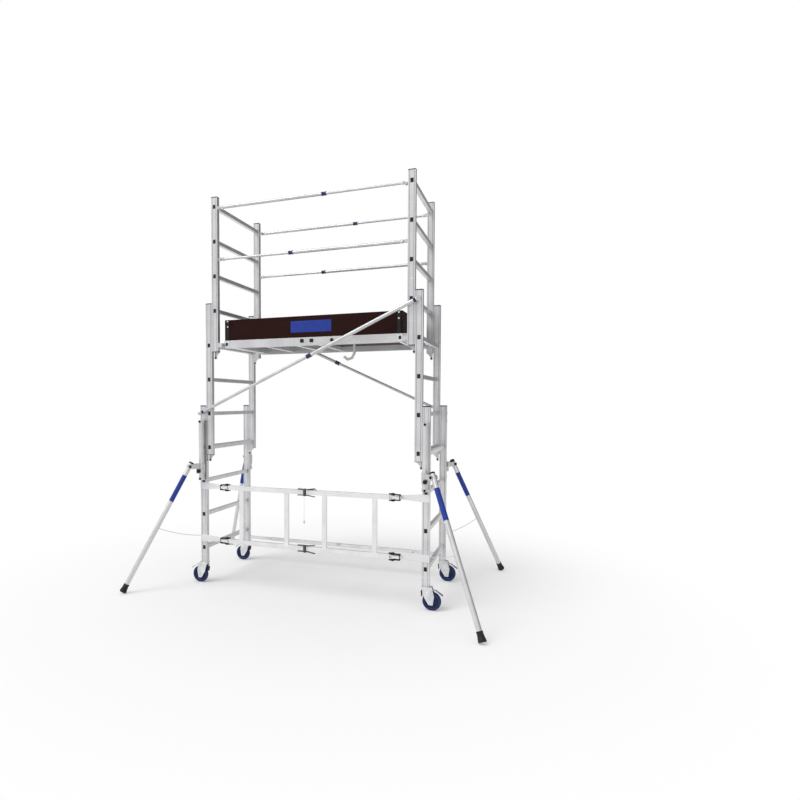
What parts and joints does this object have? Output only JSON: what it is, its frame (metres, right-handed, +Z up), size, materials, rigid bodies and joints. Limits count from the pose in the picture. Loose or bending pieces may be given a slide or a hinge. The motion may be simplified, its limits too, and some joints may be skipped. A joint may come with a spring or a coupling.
{
  "type": "mobile tower scaffold",
  "caption": "Folding aluminium access tower on castors, with telescoping ladder frames, a trapdoor platform, guardrails, a folding brace and outriggers.",
  "frame": {"origin": "on the floor, at the centre of the footprint", "axes": "+X along the platform to the right, +Y to the back, +Z up"},
  "size_m": [2.8064, 1.8004, 3.174],
  "materials": {
    "aluminium": "bright satin",
    "brace_metal": "bright satin",
    "zinc": "bright zinc",
    "dark_steel": "dark grey",
    "board": "film-faced dark brown plywood",
    "deck": "slip-resistant film-faced plywood",
    "tyre_blue": "navy polyurethane",
    "black_plastic": "black moulded"
  },
  "bodies": {
    "base_left": {"base_left_stiles": "aluminium", "base_left_rungs": "aluminium", "base_left_guide_tubes": "aluminium", "base_left_brackets": "aluminium"},
    "brace_left": {"brace_left": "brace_metal"},
    "brace_lever": {"brace_lock_lever": "dark_steel"},
    "brace_right": {"brace_right": "brace_metal"},
    "base_right": {"base_right_stiles": "aluminium", "base_right_rungs": "aluminium", "base_right_guide_tubes": "aluminium", "base_right_brackets": "aluminium"},
    "back_rail_left": {"back_rail_left": "brace_metal"},
    "back_rail_right": {"back_rail_right": "brace_metal"},
    "mid_left": {"mid_left_stiles": "aluminium", "mid_left_rungs": "aluminium"},
    "mid_right": {"mid_right_stiles": "aluminium", "mid_right_rungs": "aluminium"},
    "top_left": {"top_left_stiles": "aluminium", "top_left_rungs": "aluminium"},
    "top_right": {"top_right_stiles": "aluminium", "top_right_rungs": "aluminium"},
    "platform": {"platform_frame": "aluminium", "platform_deck": "deck", "toe_boards_end": "board", "storage_hook": "zinc"},
    "trapdoor": {"trapdoor": "deck"},
    "toe_board_front": {"toe_board_front": "board"},
    "toe_board_back": {"toe_board_back": "board"},
    "top_rail_outer": {"top_rail_outer": "aluminium"},
    "top_rail_inner": {"top_rail_inner": "aluminium"},
    "mid_rail_outer": {"mid_rail_outer": "aluminium"},
    "mid_rail_inner": {"mid_rail_inner": "aluminium"},
    "front_diagonal_inner": {"front_diagonal_inner": "aluminium"},
    "front_diagonal_outer": {"front_diagonal_outer": "aluminium"},
    "back_diagonal_inner": {"back_diagonal_inner": "aluminium"},
    "back_diagonal_outer": {"back_diagonal_outer": "aluminium"},
    "outrigger_sleeve_front_left": {"outrigger_sleeve_front_left": "zinc"},
    "outrigger_yoke_front_left": {"outrigger_yoke_front_left": "aluminium"},
    "outrigger_leg_front_left": {"outrigger_leg_front_left": "aluminium"},
    "castor_fork_front_left": {"castor_fork_front_left": "zinc"},
    "castor_wheel_front_left": {"castor_wheel_front_left": "tyre_blue"},
    "castor_pedal_front_left": {"castor_pedal_front_left": "zinc"},
    "outrigger_sleeve_front_right": {"outrigger_sleeve_front_right": "zinc"},
    "outrigger_yoke_front_right": {"outrigger_yoke_front_right": "aluminium"},
    "outrigger_leg_front_right": {"outrigger_leg_front_right": "aluminium"},
    "castor_fork_front_right": {"castor_fork_front_right": "zinc"},
    "castor_wheel_front_right": {"castor_wheel_front_right": "tyre_blue"},
    "castor_pedal_front_right": {"castor_pedal_front_right": "zinc"},
    "outrigger_sleeve_back_left": {"outrigger_sleeve_back_left": "zinc"},
    "outrigger_yoke_back_left": {"outrigger_yoke_back_left": "aluminium"},
    "outrigger_leg_back_left": {"outrigger_leg_back_left": "aluminium"},
    "castor_fork_back_left": {"castor_fork_back_left": "zinc"},
    "castor_wheel_back_left": {"castor_wheel_back_left": "tyre_blue"},
    "castor_pedal_back_left": {"castor_pedal_back_left": "zinc"},
    "outrigger_sleeve_back_right": {"outrigger_sleeve_back_right": "zinc"},
    "outrigger_yoke_back_right": {"outrigger_yoke_back_right": "aluminium"},
    "outrigger_leg_back_right": {"outrigger_leg_back_right": "aluminium"},
    "castor_fork_back_right": {"castor_fork_back_right": "zinc"},
    "castor_wheel_back_right": {"castor_wheel_back_right": "tyre_blue"},
    "castor_pedal_back_right": {"castor_pedal_back_right": "zinc"}
  },
  "joints": [
    {"name": "fold", "type": "hinge", "parent": "base_left", "child": "brace_left", "pos_m": [-0.692, -0.424, 0.6], "axis": [0, 0, 1], "range_deg": [0, 85.5]},
    {"name": "brace_centre_fold", "type": "hinge", "parent": "brace_left", "child": "brace_right", "pos_m": [0, -0.44, 0.6], "axis": [0, 0, 1], "range_deg": [-171, 0]},
    {"name": "right_frame_fold", "type": "hinge", "parent": "brace_right", "child": "base_right", "pos_m": [0.692, -0.424, 0.6], "axis": [0, 0, 1], "range_deg": [0, 85.5]},
    {"name": "back_left_fold", "type": "hinge", "parent": "base_left", "child": "back_rail_left", "pos_m": [-0.692, 0.375, 0.224], "axis": [0, 0, 1], "range_deg": [-85.5, 0]},
    {"name": "back_right_fold", "type": "hinge", "parent": "base_right", "child": "back_rail_right", "pos_m": [0.692, 0.375, 0.224], "axis": [0, 0, 1], "range_deg": [0, 85.5]},
    {"name": "brace_lever_turn", "type": "hinge", "parent": "brace_left", "child": "brace_lever", "pos_m": [-0.045, -0.424, 0.84], "axis": [0, 0, 1], "range_deg": [0, 90]},
    {"name": "mid_left_lift", "type": "slide", "parent": "base_left", "child": "mid_left", "axis": [0, 0, 1], "range_m": [-0.84, 0], "stiffness_N_per_m": 600, "springref_m": 0.8},
    {"name": "mid_right_lift", "type": "slide", "parent": "base_right", "child": "mid_right", "axis": [0, 0, 1], "range_m": [-0.84, 0], "stiffness_N_per_m": 600, "springref_m": 0.8},
    {"name": "top_left_lift", "type": "slide", "parent": "mid_left", "child": "top_left", "axis": [0, 0, 1], "range_m": [-0.84, 0], "stiffness_N_per_m": 600, "springref_m": 0.8},
    {"name": "top_right_lift", "type": "slide", "parent": "mid_right", "child": "top_right", "axis": [0, 0, 1], "range_m": [-0.84, 0], "stiffness_N_per_m": 600, "springref_m": 0.8},
    {"name": "platform_tilt", "type": "hinge", "parent": "top_left", "child": "platform", "pos_m": [-0.763, 0, 1.98], "axis": [0, -1, 0], "range_deg": [0, 85]},
    {"name": "toe_front_fold", "type": "hinge", "parent": "platform", "child": "toe_board_front", "pos_m": [0, -0.348, 2.025], "axis": [-1, 0, 0], "range_deg": [0, 90]},
    {"name": "toe_back_fold", "type": "hinge", "parent": "platform", "child": "toe_board_back", "pos_m": [0, 0.348, 2.025], "axis": [1, 0, 0], "range_deg": [0, 90]},
    {"name": "trapdoor_hinge", "type": "hinge", "parent": "platform", "child": "trapdoor", "pos_m": [0.06, 0, 2.023], "axis": [0, 1, 0], "range_deg": [-95, 0]},
    {"name": "top_rail_swing", "type": "hinge", "parent": "top_left", "child": "top_rail_outer", "pos_m": [-0.768, 0, 3.085], "axis": [0, 1, 0], "range_deg": [0, 83]},
    {"name": "top_rail_slide", "type": "slide", "parent": "top_rail_outer", "child": "top_rail_inner", "axis": [-1, 0, 0], "range_m": [0, 0.57]},
    {"name": "mid_rail_swing", "type": "hinge", "parent": "top_right", "child": "mid_rail_outer", "pos_m": [0.768, 0, 2.678], "axis": [0, -1, 0], "range_deg": [0, 83]},
    {"name": "mid_rail_slide", "type": "slide", "parent": "mid_rail_outer", "child": "mid_rail_inner", "axis": [1, 0, 0], "range_m": [0, 0.57]},
    {"name": "front_diagonal_swing", "type": "hinge", "parent": "base_left", "child": "front_diagonal_inner", "pos_m": [-0.94, -0.43, 1.42], "axis": [0, -1, 0], "range_deg": [0, 64]},
    {"name": "front_diagonal_slide", "type": "slide", "parent": "front_diagonal_inner", "child": "front_diagonal_outer", "axis": [-0.9082, 0, -0.4186], "range_m": [0, 0.84]},
    {"name": "back_diagonal_swing", "type": "hinge", "parent": "base_right", "child": "back_diagonal_inner", "pos_m": [0.94, 0.43, 1.42], "axis": [0, 1, 0], "range_deg": [0, 64]},
    {"name": "back_diagonal_slide", "type": "slide", "parent": "back_diagonal_inner", "child": "back_diagonal_outer", "axis": [0.9082, 0, -0.4186], "range_m": [0, 0.84]},
    {"name": "sleeve_raise_front_left", "type": "slide", "parent": "base_left", "child": "outrigger_sleeve_front_left", "axis": [0, 0, 1], "range_m": [0, 0.3]},
    {"name": "yoke_swing_front_left", "type": "hinge", "parent": "outrigger_sleeve_front_left", "child": "outrigger_yoke_front_left", "pos_m": [-0.927, -0.424, 0.985], "axis": [0, 0, 1], "range_deg": [-40, 40]},
    {"name": "leg_tuck_front_left", "type": "hinge", "parent": "outrigger_yoke_front_left", "child": "outrigger_leg_front_left", "pos_m": [-0.99842, -0.49542, 0.985], "axis": [0.7071, -0.7071, 0], "range_deg": [0, 28.9]},
    {"name": "castor_swivel_front_left", "type": "hinge", "parent": "base_left", "child": "castor_fork_front_left", "pos_m": [-0.9275, -0.377, 0.15], "axis": [0, 0, 1], "continuous": true},
    {"name": "wheel_spin_front_left", "type": "hinge", "parent": "castor_fork_front_left", "child": "castor_wheel_front_left", "pos_m": [-0.9725, -0.377, 0.068], "axis": [0, 1, 0], "continuous": true},
    {"name": "brake_press_front_left", "type": "hinge", "parent": "castor_fork_front_left", "child": "castor_pedal_front_left", "pos_m": [-0.9375, -0.377, 0.146], "axis": [0, -1, 0], "range_deg": [0, 6]},
    {"name": "sleeve_raise_front_right", "type": "slide", "parent": "base_right", "child": "outrigger_sleeve_front_right", "axis": [0, 0, 1], "range_m": [0, 0.3]},
    {"name": "yoke_swing_front_right", "type": "hinge", "parent": "outrigger_sleeve_front_right", "child": "outrigger_yoke_front_right", "pos_m": [0.927, -0.424, 0.985], "axis": [0, 0, 1], "range_deg": [-40, 40]},
    {"name": "leg_tuck_front_right", "type": "hinge", "parent": "outrigger_yoke_front_right", "child": "outrigger_leg_front_right", "pos_m": [0.99842, -0.49542, 0.985], "axis": [0.7071, 0.7071, 0], "range_deg": [0, 28.9]},
    {"name": "castor_swivel_front_right", "type": "hinge", "parent": "base_right", "child": "castor_fork_front_right", "pos_m": [0.9275, -0.377, 0.15], "axis": [0, 0, 1], "continuous": true},
    {"name": "wheel_spin_front_right", "type": "hinge", "parent": "castor_fork_front_right", "child": "castor_wheel_front_right", "pos_m": [0.9725, -0.377, 0.068], "axis": [0, 1, 0], "continuous": true},
    {"name": "brake_press_front_right", "type": "hinge", "parent": "castor_fork_front_right", "child": "castor_pedal_front_right", "pos_m": [0.9375, -0.377, 0.146], "axis": [0, 1, 0], "range_deg": [0, 6]},
    {"name": "sleeve_raise_back_left", "type": "slide", "parent": "base_left", "child": "outrigger_sleeve_back_left", "axis": [0, 0, 1], "range_m": [0, 0.3]},
    {"name": "yoke_swing_back_left", "type": "hinge", "parent": "outrigger_sleeve_back_left", "child": "outrigger_yoke_back_left", "pos_m": [-0.927, 0.424, 0.985], "axis": [0, 0, 1], "range_deg": [-40, 40]},
    {"name": "leg_tuck_back_left", "type": "hinge", "parent": "outrigger_yoke_back_left", "child": "outrigger_leg_back_left", "pos_m": [-0.99842, 0.49542, 0.985], "axis": [-0.7071, -0.7071, 0], "range_deg": [0, 28.9]},
    {"name": "castor_swivel_back_left", "type": "hinge", "parent": "base_left", "child": "castor_fork_back_left", "pos_m": [-0.9275, 0.377, 0.15], "axis": [0, 0, 1], "continuous": true},
    {"name": "wheel_spin_back_left", "type": "hinge", "parent": "castor_fork_back_left", "child": "castor_wheel_back_left", "pos_m": [-0.9725, 0.377, 0.068], "axis": [0, 1, 0], "continuous": true},
    {"name": "brake_press_back_left", "type": "hinge", "parent": "castor_fork_back_left", "child": "castor_pedal_back_left", "pos_m": [-0.9375, 0.377, 0.146], "axis": [0, -1, 0], "range_deg": [0, 6]},
    {"name": "sleeve_raise_back_right", "type": "slide", "parent": "base_right", "child": "outrigger_sleeve_back_right", "axis": [0, 0, 1], "range_m": [0, 0.3]},
    {"name": "yoke_swing_back_right", "type": "hinge", "parent": "outrigger_sleeve_back_right", "child": "outrigger_yoke_back_right", "pos_m": [0.927, 0.424, 0.985], "axis": [0, 0, 1], "range_deg": [-40, 40]},
    {"name": "leg_tuck_back_right", "type": "hinge", "parent": "outrigger_yoke_back_right", "child": "outrigger_leg_back_right", "pos_m": [0.99842, 0.49542, 0.985], "axis": [-0.7071, 0.7071, 0], "range_deg": [0, 28.9]},
    {"name": "castor_swivel_back_right", "type": "hinge", "parent": "base_right", "child": "castor_fork_back_right", "pos_m": [0.9275, 0.377, 0.15], "axis": [0, 0, 1], "continuous": true},
    {"name": "wheel_spin_back_right", "type": "hinge", "parent": "castor_fork_back_right", "child": "castor_wheel_back_right", "pos_m": [0.9725, 0.377, 0.068], "axis": [0, 1, 0], "continuous": true},
    {"name": "brake_press_back_right", "type": "hinge", "parent": "castor_fork_back_right", "child": "castor_pedal_back_right", "pos_m": [0.9375, 0.377, 0.146], "axis": [0, 1, 0], "range_deg": [0, 6]}
  ],
  "couplings": [
    {"joint": "brace_centre_fold", "follows": "fold", "ratio": -2},
    {"joint": "right_frame_fold", "follows": "fold", "ratio": 1},
    {"joint": "back_left_fold", "follows": "fold", "ratio": -1},
    {"joint": "back_right_fold", "follows": "fold", "ratio": 1},
    {"joint": "mid_right_lift", "follows": "mid_left_lift", "ratio": 1},
    {"joint": "top_right_lift", "follows": "top_left_lift", "ratio": 1},
    {"joint": "platform_tilt", "follows": "fold", "ratio": 0.99404},
    {"joint": "toe_front_fold", "follows": "fold", "ratio": 1.0525},
    {"joint": "toe_back_fold", "follows": "fold", "ratio": 1.0525},
    {"joint": "top_rail_swing", "follows": "fold", "ratio": 0.97064},
    {"joint": "top_rail_slide", "follows": "fold", "m_per_rad": 0.3819},
    {"joint": "mid_rail_swing", "follows": "fold", "ratio": 0.97064},
    {"joint": "mid_rail_slide", "follows": "fold", "m_per_rad": 0.3819},
    {"joint": "front_diagonal_swing", "follows": "fold", "ratio": 0.74842},
    {"joint": "front_diagonal_slide", "follows": "fold", "m_per_rad": 0.56284},
    {"joint": "back_diagonal_swing", "follows": "fold", "ratio": 0.74842},
    {"joint": "back_diagonal_slide", "follows": "fold", "m_per_rad": 0.56284},
    {"joint": "leg_tuck_front_left", "follows": "sleeve_raise_front_left", "rad_per_m": 1.681},
    {"joint": "leg_tuck_front_right", "follows": "sleeve_raise_front_right", "rad_per_m": 1.681},
    {"joint": "leg_tuck_back_left", "follows": "sleeve_raise_back_left", "rad_per_m": 1.681},
    {"joint": "leg_tuck_back_right", "follows": "sleeve_raise_back_right", "rad_per_m": 1.681}
  ]
}
